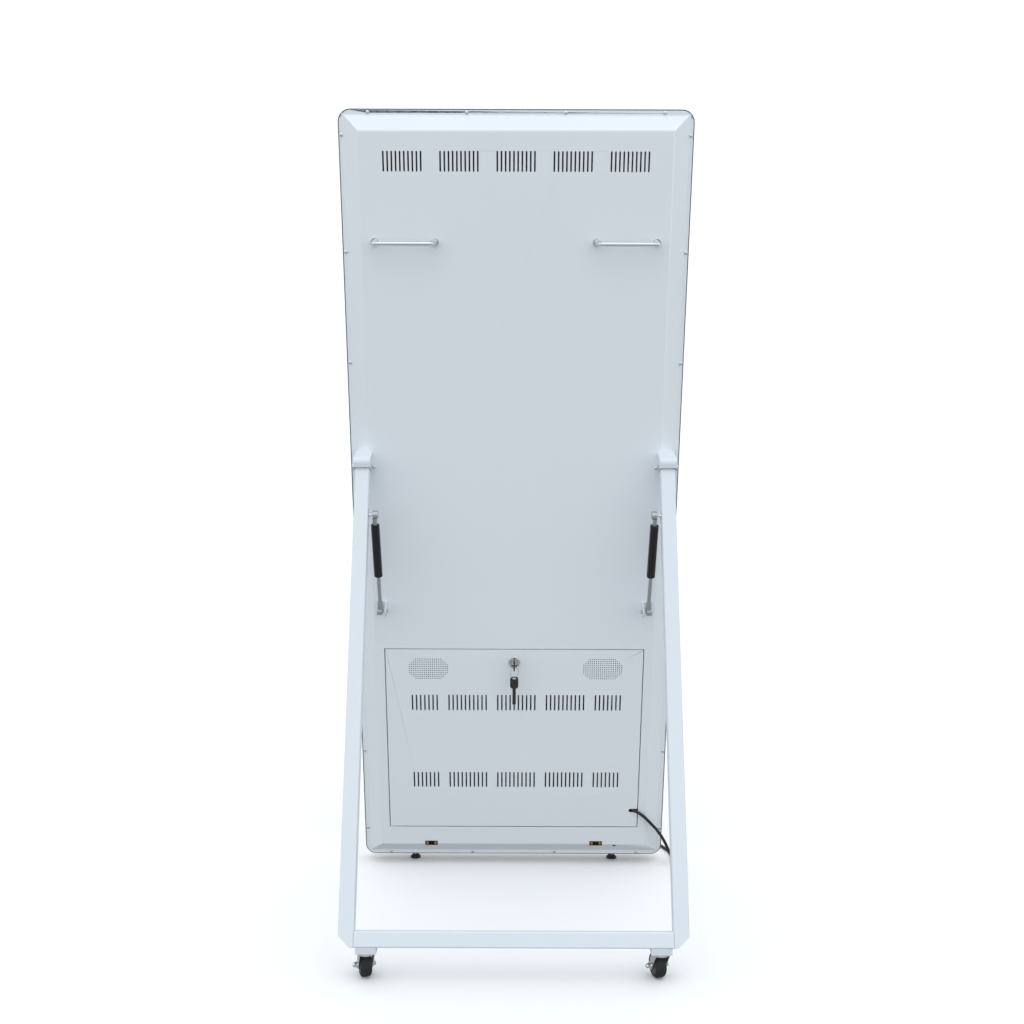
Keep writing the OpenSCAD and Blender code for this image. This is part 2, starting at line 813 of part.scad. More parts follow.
module pivot_bolts() {
    color(CHROME) in_panel()
        for (x = BOTH) {
            head = x > 0 ? bolt_side + 0.1 : -bolt_side - 5.1;
            nut = x > 0 ? -bolt_side - 6.6 : bolt_side + 0.1;
            translate([x * leg_x, 0, pivot_up]) {
                stud_x(head, head + 5, pivot_out, 0, 13, 6);
                stud_x(nut, nut + 6.5, pivot_out, 0, 13, 6);
                stud_x(x > 0 ? -bolt_side - 9 : -bolt_side - 1,
                       x > 0 ? bolt_side + 1 : bolt_side + 9,
                       pivot_out, 0, pivot_bolt_d);
            }
        }
}

// ---------------------------------------------------------------- stand
module leg(side) {
    // Square tube from the plug above the pivot down to the mitred lower corner.
    top = tube / 2;
    color(LEG_WHITE) in_stand() translate([side * leg_x, 0, 0]) difference() {
        translate([0, 0, -leg_len - tube / 2])
            linear_extrude(leg_len + tube / 2 + top - CLEAR) rounded(tube, tube, tube_r);
        translate([0, 0, -leg_len + tube / 2])
            linear_extrude(leg_len + 2 * tube) square(tube - 2 * tube_t, center = true);
        stud_x(-tube, tube, 0, 0, bush_d + 2 * RUN);
        // 45 degree cut across the outer lower corner
        translate([side * tube / 2, 0, -leg_len - tube / 2])
            rotate([0, 45, 0])
                cube([corner_cut * sqrt(2), 2 * tube, corner_cut * sqrt(2)], center = true);
        stud_x(side > 0 ? -tube : 0, side > 0 ? 0 : tube, 0, -strut_down, 6 + 2 * RUN);
    }
}

module stand_crossbar() {
    half = leg_x - tube / 2 - 0.05;
    color(LEG_WHITE) in_stand() difference() {
        translate([-half, 0, -leg_len]) rotate([0, 90, 0])
            linear_extrude(2 * half) rounded(tube, tube, tube_r);
        translate([-half - OVER, 0, -leg_len]) rotate([0, 90, 0])
            linear_extrude(2 * half + 2 * OVER) square(tube - 2 * tube_t, center = true);
    }
}

module leg_plugs() {
    color(NYLON) in_stand()
        for (x = BOTH)
            translate([x * leg_x, 0, tube / 2 - 4.2]) linear_extrude(4)
                square(tube - 2 * tube_t - 0.1, center = true);
}

module pivot_bushes() {
    color(NYLON) in_stand()
        for (x = BOTH) translate([x * leg_x, 0, 0]) difference() {
            stud_x(-tube / 2 - 0.3, tube / 2 + 0.3, 0, 0, bush_d);
            stud_x(-tube, tube, 0, 0, pivot_bolt_d + 2 * RUN);
        }
}

// A ball on a stud that points along X, with a hexagonal shoulder against a plate.
module ball_stud(ball_x, shoulder, tip, out) {
    // out is +1 when the stud points to +X from the ball, else -1
    neck = out * (shoulder - ball_x);
    reach = out * (tip - ball_x);
    translate([ball_x, 0, 0]) rotate([0, out * 90, 0]) {
        sphere(d = ball_d, $fn = 64);
        cylinder(d = 5, h = neck, $fn = 48);
        translate([0, 0, neck - 3.5]) cylinder(d = 10, h = 3.5, $fn = 6);
        translate([0, 0, neck - 1]) cylinder(d = 6, h = reach - neck + 1, $fn = 48);
    }
}

module leg_ball_studs() {
    inner = leg_x - tube / 2;
    color(CHROME) in_stand() translate([0, 0, -strut_down])
        for (x = BOTH) ball_stud(x * strut_x, x * (inner - 0.05), x * (inner + 9), x);
}

module strut_tabs() {
    // L-shaped tabs: a foot screwed to the panel and an ear that carries the ball.
    color(WHITE) in_panel()
        for (x = BOTH) translate([0, 0, strut_low]) difference() {
            union() {
                translate([x * (strut_x - tab_in) - (x > 0 ? tab_t : 0), rise + 0.02, -13])
                    cube([tab_t, ball_y - rise + 1, 26]);
                stud_x(x * (strut_x - tab_in) - (x > 0 ? tab_t : 0),
                       x * (strut_x - tab_in) + (x > 0 ? 0 : tab_t), ball_y, 0, 20);
                translate([x * (strut_x - tab_in) - (x > 0 ? tab_t : 16), rise + 0.02, -13])
                    cube([16 + tab_t, tab_t, 26]);
            }
            stud_x(x * (strut_x - tab_in) - 6, x * (strut_x - tab_in) + 6, ball_y, 0,
                   6 + 2 * RUN);
            stud_y(x * (strut_x - tab_in + 8), 0, 0, 2 * rise, bracket_screw_d);
        }
}

module tab_ball_studs() {
    plane = strut_x - tab_in;
    color(CHROME) in_panel() translate([0, ball_y, strut_low])
        for (x = BOTH) {
            ball_stud(x * strut_x, x * (plane + 0.05), x * (plane - tab_t - 1), -x);
            stud_x(x > 0 ? plane - tab_t - 4.6 : -plane + tab_t + 0.6,
                   x > 0 ? plane - tab_t - 0.6 : -plane + tab_t + 4.6, 0, 0, 10, 6);
        }
    color(STEEL) in_panel()
        for (x = BOTH)
            stud_y(x * (plane + 8), strut_low, rise - sheet_t - 3,
                   rise + tab_t + 3, bracket_screw_d - 0.2, 24);
}

// Socket of a strut's end fitting round its ball, open towards +X when out is 1.
module socket(out) {
    difference() {
        union() {
            stud_x(out > 0 ? -7.5 : -3.4, out > 0 ? 3.4 : 7.5, 0, 0, socket_d, 48);
            children();
        }
        stud_x(out > 0 ? -5.4 : -9, out > 0 ? 9 : 5.4, 0, 0, ball_d + 2 * CLEAR, 48);
    }
}

module strut_cylinder(side) {
    color(BLACK) in_strut(side) {
        socket(side) cylinder(d = 9, h = cyl_near + 1, $fn = 48);
        difference() {
            translate([0, 0, cyl_near])
                cylinder(d = strut_d, h = cyl_far - cyl_near, $fn = 64);
            translate([0, 0, cyl_near + 8])
                cylinder(d = cyl_bore_d, h = cyl_far, $fn = 64);
        }
    }
}

module strut_rod(side) {
    color(GRAPHITE) in_strut(side) {
        translate([0, 0, rod_tip])
            cylinder(d = strut_rod_d, h = strut_len - end_fit_len - rod_tip - 4, $fn = 48);
        translate([0, 0, strut_len]) socket(-side)
            translate([0, 0, -end_fit_len - 6]) {
                cylinder(d = 12, h = end_fit_len - 3, $fn = 48);
                cylinder(d = 9, h = end_fit_len + 4, $fn = 48);
            }
    }
}

// ---------------------------------------------------------------- castors
module castor_pads() {
    // Wedges that turn the leaning bar's lower face into a level seat, with stems.
    run = tube / 2 - 1;
    color(LEG_WHITE) for (x = BOTH)
        translate([x * castor_x, base_y - origin_y, castor_h]) {
            translate([-pad_w / 2, 0, -0.05]) rotate([90, 0, 90]) linear_extrude(pad_w)
                polygon([[-run * cos(stand_lean), -run * sin(stand_lean)],
                         [run * cos(stand_lean), run * sin(stand_lean)],
                         [run * cos(stand_lean), -pad_drop],
                         [-run * cos(stand_lean), -pad_drop]]);
            translate([0, 0, fork_top - castor_h - fork_top_t - 0.3])
                cylinder(d = stem_d, h = pad_drop - 2, $fn = FINE);
            translate([0, 0, fork_top - castor_h - fork_top_t - 2.1])
                cylinder(d = stem_d + 6, h = 1.8, $fn = 48);
        }
}

module castor_fork(side) {
    arm = fork_gap / 2;
    color(CHROME) in_castor(side) difference() {
        union() {
            translate([0, 0, fork_top - fork_top_t])
                cylinder(r = fork_top_r, h = fork_top_t, $fn = FINE);
            for (s = BOTH)
                translate([s > 0 ? arm : -arm - fork_t, 0, 0])
                    rotate([90, 0, 90]) linear_extrude(fork_t) union() {
                        polygon([[-11, fork_top - 1], [11, fork_top - 1],
                                 [8 - trail, axle_z - 1], [-trail - 8, axle_z]]);
                        translate([-trail, axle_z]) circle(8, $fn = 48);
                    }
            translate([-arm - fork_t, -11, fork_top - fork_top_t])
                cube([2 * arm + 2 * fork_t, 22, fork_top_t]);
        }
        cylinder(d = stem_d + 2 * RUN, h = 2 * castor_h, $fn = FINE);
        stud_x(-2 * arm, 2 * arm, -trail, axle_z, axle_d + 0.02);
    }
}

module castor_axle(side) {
    arm = fork_gap / 2 + fork_t;
    color(CHROME) in_castor(side) translate([0, -trail, axle_z]) {
        stud_x(-arm - 0.1, arm + 3, 0, 0, axle_d);
        stud_x(-arm - 5.1, -arm - 0.1, 0, 0, 11, 6);
        stud_x(arm + 0.1, arm + 1.5, 0, 0, 13, 32);
        stud_x(arm + 1.5, arm + 6, 0, 0, 11, 6);
        translate([arm + 6, 0, 0]) rotate([0, 90, 0]) cylinder(d1 = 9.6, d2 = 6, h = 3);
    }
}

module castor_wheel(side) {
    r = wheel_d / 2;
    w = wheel_w / 2;
    color(BLACK) in_castor(side) translate([0, -trail, axle_z]) rotate([0, 90, 0])
        rotate_extrude($fn = FINE) difference() {
            union() {
                translate([axle_d / 2 + RUN, -w]) square([r - 6 - axle_d / 2 - RUN, 2 * w]);
                translate([r - 7, 6 - w]) square([7, 2 * w - 12]);
                translate([r - 6, w - 6]) circle(6, $fn = 32);
                translate([r - 6, 6 - w]) circle(6, $fn = 32);
            }
            for (s = BOTH)
                translate([axle_d / 2 + 4, s > 0 ? w - 2 : -w - 1]) square([9, 3]);
        }
}

// ---------------------------------------------------------------- feet
module foot_sockets() {
    color(STEEL) in_panel()
        for (x = BOTH) translate([x * foot_x, foot_y, 0]) difference() {
            union() {
                translate([0, 0, frame_t + 0.05])
                    cylinder(d = foot_stud_d + 10, h = socket_len, $fn = 48);
                translate([0, 0, -4.05]) cylinder(d = 19, h = 4, $fn = 6);
            }
            translate([0, 0, -10])
                cylinder(d = foot_stud_d + 2 * RUN, h = 2 * socket_len, $fn = FINE);
        }
}

module foot_stud(side) {
    color(CHROME) in_panel() translate([side * foot_x, foot_y, foot_ball_s]) {
        sphere(d = foot_ball_d, $fn = 64);
        cylinder(d = 7, h = 8, $fn = 48);
        translate([0, 0, 6.2])
            cylinder(d = foot_stud_d, h = socket_len - foot_ball_s - 6.2, $fn = FINE);
    }
}

module foot_pad(side) {
    color(BLACK) translate([side * foot_x, foot_world_y - origin_y, 0]) difference() {
        union() {
            cylinder(d = foot_d, h = 4, $fn = 64);
            cylinder(d = 15, h = 10, $fn = 64);
        }
        translate([0, 0, foot_ball_z]) sphere(d = foot_ball_d + 0.3, $fn = 64);
    }
}

// ---------------------------------------------------------------- base windows
module contact_frames() {
    color(BLACK) in_panel()
        for (x = BOTH) translate([x * window_x, 0, 0])
            difference() {
                plate(rise - 6, 6.4) translate([0, window_s])
                    square([window_w, window_h], center = true);
                plate(rise - 4, 8) translate([0, window_s])
                    square([window_w - 3, window_h - 3], center = true);
            }
}

module contact_bars() {
    color(BRASS) in_panel()
        for (x = BOTH, s = BOTH) translate([x * window_x + s * (window_w / 2 - 5), 0, 0])
            plate(rise - 3.9, 3.2) translate([0, window_s])
                square([5, window_h - 3.4], center = true);
}

// ---------------------------------------------------------------- cord
module cord_grommet() {
    // Sleeve round the cord, on a clamp block that is fixed to the door's seat
    color(BLACK) in_panel() {
        translate(exit_at) rotate([0, exit_polar, exit_turn])
            translate([0, 0, -grommet_len])
                cylinder(d1 = grommet_d, d2 = cord_d + 0.6, h = grommet_len, $fn = 48);
        translate([-283.5, lip_y + lip_wall + 0.05, 128.5]) cube([9.5, 9, 8]);
    }
}

function unit(v) = v / norm(v);
// Point number i of the smooth curve through the list p, at fraction t.
function through(a, b, c, d, t) = 0.5 * (2 * b + (c - a) * t
    + (2 * a - 5 * b + 4 * c - d) * t * t + (3 * b - a - 3 * c + d) * t * t * t);
function route(p, n) = [for (i = [0 : len(p) - 2], k = [0 : n - 1])
    through(i > 0 ? p[i - 1] : 2 * p[0] - p[1], p[i], p[i + 1],
            i < len(p) - 2 ? p[i + 2] : 2 * p[i + 1] - p[i], k / n)];
function heading(q, i) = i == 0 ? unit(CORD_START)
    : i == len(q) - 1 ? CORD_END : unit(q[i + 1] - q[i - 1]);
function ring_at(c, h, r, n) = let(
    u = unit(cross(h, abs(h[2]) < 0.9 ? [0, 0, 1] : [1, 0, 0])),
    v = cross(h, u))
    [for (k = [0 : n - 1]) c + r * (u * cos(360 * k / n) + v * sin(360 * k / n))];

module tube_along(p, d, n) {
    q = concat(route(p, 2), [p[len(p) - 1]]);
    m = len(q);
    points = [for (i = [0 : m - 1]) each ring_at(q[i], heading(q, i), d / 2, n)];
    sides = [for (i = [0 : m - 2], k = [0 : n - 1])
        [i * n + k, i * n + (k + 1) % n, (i + 1) * n + (k + 1) % n, (i + 1) * n + k]];
    ends = [[for (k = [n - 1 : -1 : 0]) k], [for (k = [0 : n - 1]) (m - 1) * n + k]];
    polyhedron(points, concat(sides, ends), convexity = 10);
}

module power_cord() {
    color(BLACK) tube_along(CORD, cord_d, 10);
}

module cord_coil() {
    r = coil_d / 2;
    w = coil_rows * cord_d;
    h = coil_layers * cord_d;
    color(BLACK) translate(coil_centre) {
        difference() {
            rotate_extrude($fn = FINE) translate([r - w / 2, 0]) square([w, h]);
            // Notch where the cord comes in along the outer turn
            translate([-r - w, 0.05, -OVER])
                cube([w / 2 + cord_d + 0.4, r, cord_d + 0.3 + OVER]);
        }
        // The end that leads to the plug
        stud_x(0, tail_len, -r - cord_d / 2, plug_z, cord_d, 48);
    }
}

module cord_tie() {
    // Strap over the coil's top and down both sides to the floor
    w = coil_rows * cord_d + 4;
    h = coil_layers * cord_d;
    color(DARK) translate([coil_centre[0], coil_centre[1] + coil_d / 2, 0])
        rotate([90, 0, 90]) translate([0, 0, -4]) linear_extrude(8) difference() {
            translate([-w / 2, 0]) square([w, h + 1.6]);
            translate([1.8 - w / 2, -OVER]) square([w - 3.6, h + OVER + 0.1]);
        }
}

module mains_plug() {
    body = 26;
    translate([coil_centre[0] + tail_len + 0.05, coil_centre[1] - (coil_d + cord_d) / 2, plug_z])
        rotate([0, 90, 0]) {
            color(BLACK) cylinder(d1 = 8, d2 = 13, h = 14, $fn = 48);
            color(BLACK) translate([0, 0, 13.9]) linear_extrude(body)
                rounded(2 * plug_z, 26, 4);
            color(BRASS) for (s = BOTH)
                translate([-3.2, s * 6.3 - 0.75, 13 + body]) cube([6.4, 1.5, 18]);
        }
}

// ---------------------------------------------------------------- assembly
rear_shell();
front_frame();
front_glass();
touch_frame();
display_panel();
display_rails();
mounting_plate();
mini_pc();
power_supply();
shell_screws();
door_frame();
access_door();
door_pins();
speaker(1);  // speaker_left
speaker(-1);  // speaker_right
lock_barrel();
lock_nut();
lock_plug();
lock_cam();
service_key();
key_ring();
spare_key();
handle(1);  // handle_left
handle(-1);  // handle_right
handle_screws();
pivot_bracket(1);  // pivot_bracket_left
pivot_bracket(-1);  // pivot_bracket_right
bracket_screws();
pivot_bolts();
leg(1);  // stand_leg_left
leg(-1);  // stand_leg_right
stand_crossbar();
leg_plugs();
pivot_bushes();
leg_ball_studs();
strut_tabs();
tab_ball_studs();
strut_cylinder(1);  // strut_cylinder_left
strut_cylinder(-1);  // strut_cylinder_right
strut_rod(1);  // strut_rod_left
strut_rod(-1);  // strut_rod_right
castor_pads();
castor_fork(1);  // castor_fork_left
castor_fork(-1);  // castor_fork_right
castor_axle(1);  // castor_axle_left
castor_axle(-1);  // castor_axle_right
castor_wheel(1);  // castor_wheel_left
castor_wheel(-1);  // castor_wheel_right
foot_sockets();
foot_stud(1);  // foot_stud_left
foot_stud(-1);  // foot_stud_right
foot_pad(1);  // foot_pad_left
foot_pad(-1);  // foot_pad_right
contact_frames();
contact_bars();
cord_grommet();
power_cord();
cord_coil();
cord_tie();
mains_plug();
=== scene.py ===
# %% [markdown]
# # A touchscreen kiosk on a folding stand
#
# The real object is a tall steel-backed screen panel that leans on a folding frame of
# square tube. This lesson dresses a measured CAD frame of it: every position comes from
# that frame, and Blender adds soft edges, small detail, finishes, light and a camera.

# %% Load the frame and keep its size
import json
import math

import bmesh
import bpy
from mathutils import Matrix, Vector


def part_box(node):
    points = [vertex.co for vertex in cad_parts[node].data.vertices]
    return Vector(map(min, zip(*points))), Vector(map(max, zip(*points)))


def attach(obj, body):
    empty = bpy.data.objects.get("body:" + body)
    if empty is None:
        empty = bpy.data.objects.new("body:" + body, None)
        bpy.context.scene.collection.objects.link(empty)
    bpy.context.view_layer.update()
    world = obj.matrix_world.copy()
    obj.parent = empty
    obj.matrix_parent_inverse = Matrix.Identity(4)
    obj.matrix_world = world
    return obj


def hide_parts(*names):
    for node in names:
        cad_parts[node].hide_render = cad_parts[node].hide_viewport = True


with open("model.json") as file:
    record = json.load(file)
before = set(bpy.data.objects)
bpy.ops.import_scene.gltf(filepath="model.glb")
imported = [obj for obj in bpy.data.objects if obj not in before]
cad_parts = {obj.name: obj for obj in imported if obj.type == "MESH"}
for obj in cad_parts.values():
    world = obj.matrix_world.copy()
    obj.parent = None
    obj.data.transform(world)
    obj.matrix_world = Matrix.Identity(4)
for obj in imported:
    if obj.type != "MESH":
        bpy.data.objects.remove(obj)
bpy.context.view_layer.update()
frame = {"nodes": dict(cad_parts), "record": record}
NODES = frame["nodes"]
NODE_BODY = {
    node: body
    for body, nodes in frame["record"]["behaviour"]["bodies"].items()
    for node in nodes
}

# %% [markdown]
# The panel leans back by 12 degrees, so almost nothing on it lines up with the world's
# axes. One matrix takes a point measured on the panel (across, out of the rear face, up
# along the panel) to the world, and pieces can then be drawn flat and set in place.
# FACE is how far the rear face stands out, in the same millimetres.

# %% The panel's own coordinates
MM = 0.001
TILT = math.radians(12)
GROUND_GAP = 20 * MM
ORIGIN_Y = 271.04 * MM
FACE = 22
PANEL = Matrix.Translation((0, -ORIGIN_Y, GROUND_GAP)) @ Matrix.Rotation(-TILT, 4, "X")


def on_panel(x, out, up):
    """World point for millimetres across, out of the rear face and up the panel."""
    return PANEL @ Vector((x * MM, out * MM, up * MM))


LOCK_UP = 512
print("middle of the lock", tuple(round(v, 4) for v in on_panel(0, FACE, LOCK_UP)))

# %% [markdown]
# ## Camera
#
# A tall object looks natural from a few metres away, through a lens a little longer
# than normal, so that upright edges stay nearly parallel. The camera stands behind the
# kiosk, a little above its middle, and looks slightly down.

# %% Place the camera
camera_data = bpy.data.cameras.new("camera")
camera_data.lens = 42.05
camera_data.sensor_width = 36.0
camera = bpy.data.objects.new("camera", camera_data)
bpy.context.scene.collection.objects.link(camera)
camera.location = (4.45 * MM, 2480.4 * MM, 1113.8 * MM)
CAMERA_DOWN = 0.10015
CAMERA_ROLL = 0.0031
CAMERA_TURN = math.pi + 0.0006
camera.rotation_mode = "QUATERNION"
camera.rotation_quaternion = (
    Matrix.Rotation(CAMERA_TURN, 4, "Z")
    @ Matrix.Rotation(math.pi / 2 - CAMERA_DOWN, 4, "X")
    @ Matrix.Rotation(CAMERA_ROLL, 4, "Z")
).to_quaternion()
bpy.context.scene.camera = camera
print("camera", tuple(round(v, 3) for v in camera.location))

# %% [markdown]
# ## Helpers for making pieces
#
# Every piece needs the same few steps: a mesh in the scene, a finish, a body to ride on
# and, where it stands in for a plain CAD solid, the name of that solid.


# %% Put a mesh in the scene
def in_scene(name, data):
    """A new object with this data, linked to the scene."""
    made = bpy.data.objects.new(name, data)
    bpy.context.scene.collection.objects.link(made)
    return made


def place(name, mesh, body, material=None, stands_for=(), smooth_below=35):
    """Links a mesh as a piece that rides on a body and takes its finish from a slot."""
    piece = in_scene(name, mesh)
    if material:
        mesh.materials.clear()
        mesh.materials.append(material)
    mesh.shade_smooth()
    if smooth_below < 180:
        mark_sharp(mesh, smooth_below)
    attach(piece, body)
    if stands_for:
        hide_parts(*stands_for)
    return piece


def mark_sharp(mesh, degrees):
    """Edges that turn by more than this many degrees keep a crisp line."""
    shape = bmesh.new()
    shape.from_mesh(mesh)
    limit = math.radians(degrees)
    for edge in shape.edges:
        edge.smooth = len(edge.link_faces) == 2 and edge.calc_face_angle(0) < limit
    shape.to_mesh(mesh)
    shape.free()


def mesh_from(name, shape):
    """Turns a finished bmesh into a mesh with outward normals."""
    bmesh.ops.recalc_face_normals(shape, faces=shape.faces)
    mesh = bpy.data.meshes.new(name)
    shape.to_mesh(mesh)
    shape.free()
    return mesh


def settled(piece):
    """Applies a piece's modifiers, so that its final mesh is plain geometry."""
    graph = bpy.context.evaluated_depsgraph_get()
    mesh = bpy.data.meshes.new_from_object(piece.evaluated_get(graph))
    old = piece.data
    piece.modifiers.clear()
    piece.data = mesh
    bpy.data.meshes.remove(old)
    return mesh


# %% [markdown]
# ## Power cord
#
# The mains lead is 7 mm PVC cable. It comes out of a notch in the service door, falls
# over the panel's lower corner and runs along the floor to a neat coil in front of the
# kiosk. A curve with a round bevel is the natural tool: the line is the cable's own
# centre, and its length can be measured. The points are those of the CAD route.

# %% The cord's route to the floor
CORD_D = 7 * MM
ROUTE = [
    (-285, -220.2, 143), (-297.9, -215, 136), (-309.3, -217.1, 125.5),
    (-319.4, -220.4, 114.1), (-329.5, -224.2, 102.7), (-338.8, -227.8, 90.5),
    (-347.2, -231.1, 77.6), (-354.6, -234.1, 64.1), (-361.1, -236.8, 50),
    (-366.9, -242.2, 36.4), (-372.1, -250.9, 24.5), (-376.3, -262.4, 14.7),
    (-379.3, -276.2, 7.8), (-380.9, -291.4, 4.1), (-381, -307.1, 3.5),
    (-379.2, -322.7, 3.5), (-375.3, -337.9, 3.5), (-369.6, -352.6, 3.5),
    (-362.9, -366.8, 3.5), (-355.9, -380.9, 3.5), (-349.5, -395.3, 3.5),
    (-344.5, -410.2, 3.5), (-341.5, -425.6, 3.5), (-340.5, -441.3, 3.5),
]
COIL_MIDDLE = Vector((-298.5, -441.3, 0))
OUTER_TURN, INNER_TURN = 42.0, 35.0
LAYER_LOW, LAYER_MIDDLE, LAYER_HIGH = 3.5, 10.5, 17.5
FULL_TURNS = 5
SHIFT_FROM = 0.8  # the share of a turn after which the cable moves to the next ring
TAIL_LENGTH = 34.0
POINTS_PER_TURN = 24


def ease(t):
    """Goes from 0 to 1 with a gentle start and stop."""
    return t * t * (3 - 2 * t)


def coil_points():
    """Turns that lie beside and on each other, one cable apart, in one winding."""
    rings = [(OUTER_TURN, LAYER_LOW), (INNER_TURN, LAYER_LOW),
             (INNER_TURN, LAYER_MIDDLE), (INNER_TURN, LAYER_HIGH),
             (OUTER_TURN, LAYER_HIGH), (OUTER_TURN, LAYER_MIDDLE)]
    points = []
    for turn in range(FULL_TURNS):
        for step in range(POINTS_PER_TURN):
            part = step / POINTS_PER_TURN
            shift = ease(max(0.0, (part - SHIFT_FROM) / (1 - SHIFT_FROM)))
            radius = rings[turn][0] + shift * (rings[turn + 1][0] - rings[turn][0])
            height = rings[turn][1] + shift * (rings[turn + 1][1] - rings[turn][1])
            angle = math.pi + 2 * math.pi * part
            points.append((COIL_MIDDLE.x + radius * math.cos(angle),
                           COIL_MIDDLE.y + radius * math.sin(angle), height))
    for step in range(POINTS_PER_TURN // 4):
        angle = math.pi + 2 * math.pi * step / POINTS_PER_TURN
        points.append((COIL_MIDDLE.x + OUTER_TURN * math.cos(angle),
                       COIL_MIDDLE.y + OUTER_TURN * math.sin(angle), LAYER_MIDDLE))
    for step in range(5):
        points.append((COIL_MIDDLE.x + step * TAIL_LENGTH / 4,
                       COIL_MIDDLE.y - OUTER_TURN, LAYER_MIDDLE))
    return points


# %% [markdown]
# A smooth line through the points comes from a Catmull-Rom spline: each stretch bends
# towards its neighbours, and the curve still passes through every given point.


# %% Draw the cord
def smooth_line(points, steps=4):
    """Points of a smooth curve through the given ones."""
    p = [Vector(q) for q in points]
    p = [2 * p[0] - p[1], *p, 2 * p[-1] - p[-2]]
    line = []
    for a, b, c, d in zip(p, p[1:], p[2:], p[3:]):
        for k in range(steps):
            t = k / steps
            line.append(0.5 * (2 * b + (c - a) * t + (2 * a - 5 * b + 4 * c - d) * t * t
                               + (3 * b - a - 3 * c + d) * t**3))
    return [*line, p[-2]]


def curve_piece(name, points, thickness, closed=False, resolution=6):
    """A round cable or wire along a line of points, given in metres.

    The thickness sits in the radius of each point: Blender adds that radius, which is
    1 m unless it is set, to the curve's bounding box.
    """
    data = bpy.data.curves.new(name, "CURVE")
    data.dimensions = "3D"
    data.bevel_depth = 1.0
    data.bevel_resolution = resolution
    data.use_fill_caps = not closed
    spline = data.splines.new("POLY")
    spline.points.add(len(points) - 1)
    for point, position in zip(spline.points, points):
        point.co = (*position, 1)
        point.radius = thickness / 2
    spline.use_cyclic_u = closed
    spline.use_smooth = True
    return in_scene(name, data)


cord_line = [p * MM for p in smooth_line([*ROUTE, *coil_points()])]
power_cord = curve_piece("mains_cord", cord_line, CORD_D)
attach(power_cord, "panel")
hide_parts("power_cord", "cord_coil")

# %% [markdown]
# The plug is moulded in one piece with its lead: a soft block that narrows to a ribbed
# strain relief, with two flat pins. A few sections are lofted along the lead's line.


# %% Loft a shape from rounded sections
def loft(name, sections, sides=32, corner=0.45):
    """A closed skin over sections (position, width, height) along +X.

    corner is 1 for an ellipse and goes to 0 for a box.
    """
    shape = bmesh.new()
    rings = []
    for along, width, height in sections:
        ring = []
        for k in range(sides):
            angle = 2 * math.pi * k / sides
            c, s = math.cos(angle), math.sin(angle)
            y = math.copysign(abs(c) ** corner, c) * width / 2
            z = math.copysign(abs(s) ** corner, s) * height / 2
            ring.append(shape.verts.new((along * MM, y * MM, z * MM)))
        rings.append(ring)
    for a, b in zip(rings, rings[1:]):
        for k in range(sides):
            shape.faces.new((a[k], a[(k + 1) % sides], b[(k + 1) % sides], b[k]))
    shape.faces.new(rings[0])
    shape.faces.new(rings[-1])
    return mesh_from(name, shape)


def add_block(shape, low, high):
    """Adds a box between two corners to a bmesh, in metres."""
    middle = [(a + b) / 2 for a, b in zip(low, high)]
    size = [b - a for a, b in zip(low, high)]
    move = Matrix.Translation(middle) @ Matrix.Diagonal((*size, 1))
    return bmesh.ops.create_cube(shape, size=1, matrix=move)["verts"]


PIN_GAP, PIN_THICK, PIN_HEIGHT = 12.6, 1.5, 6.4
PIN_FROM, PIN_TO = 39, 57
plug_start = Vector((COIL_MIDDLE.x + TAIL_LENGTH, COIL_MIDDLE.y - OUTER_TURN,
                     LAYER_MIDDLE)) * MM
relief = [(2.2 * k + d, 8.6 + 0.28 * k - e, 8.6 + 0.28 * k - e)
          for k in range(6) for d, e in ((0.0, 1.4), (0.3, 0.0), (1.3, 0.0), (1.6, 1.4))]
body = [(13.4, 11, 11), (15, 17, 15), (17.5, 21.5, 18.6), (22, 24.2, 20.4), (30, 25.6, 20.9),
        (37, 25.6, 20.9), (38.6, 25, 20.4), (39.4, 23.6, 19.2), (39.8, 21, 17)]
plug_mesh = loft("plug", relief + body, corner=0.6)
plug_mesh.transform(Matrix.Translation(plug_start))
pins = bmesh.new()
for side in (-1, 1):
    add_block(pins,
              (PIN_FROM * MM, (side * PIN_GAP / 2 - PIN_THICK / 2) * MM, -PIN_HEIGHT / 2 * MM),
              (PIN_TO * MM, (side * PIN_GAP / 2 + PIN_THICK / 2) * MM, PIN_HEIGHT / 2 * MM))
bmesh.ops.bevel(pins, geom=list(pins.edges), offset=0.35 * MM, segments=2, affect="EDGES")
pin_mesh = mesh_from("plug_pins", pins)
pin_mesh.transform(Matrix.Translation(plug_start))
plug = place("plug_moulding", plug_mesh, "panel",
             stands_for=["mains_plug"], smooth_below=60)
plug_pins = place("plug_pins", pin_mesh, "panel")
print("plug at", tuple(round(v, 3) for v in plug_start))

# %% [markdown]
# A hook-and-loop strap goes once round the coil's six strands and keeps them together.


# %% Strap on the coil
STRAP_CENTRE_UP = 11.7


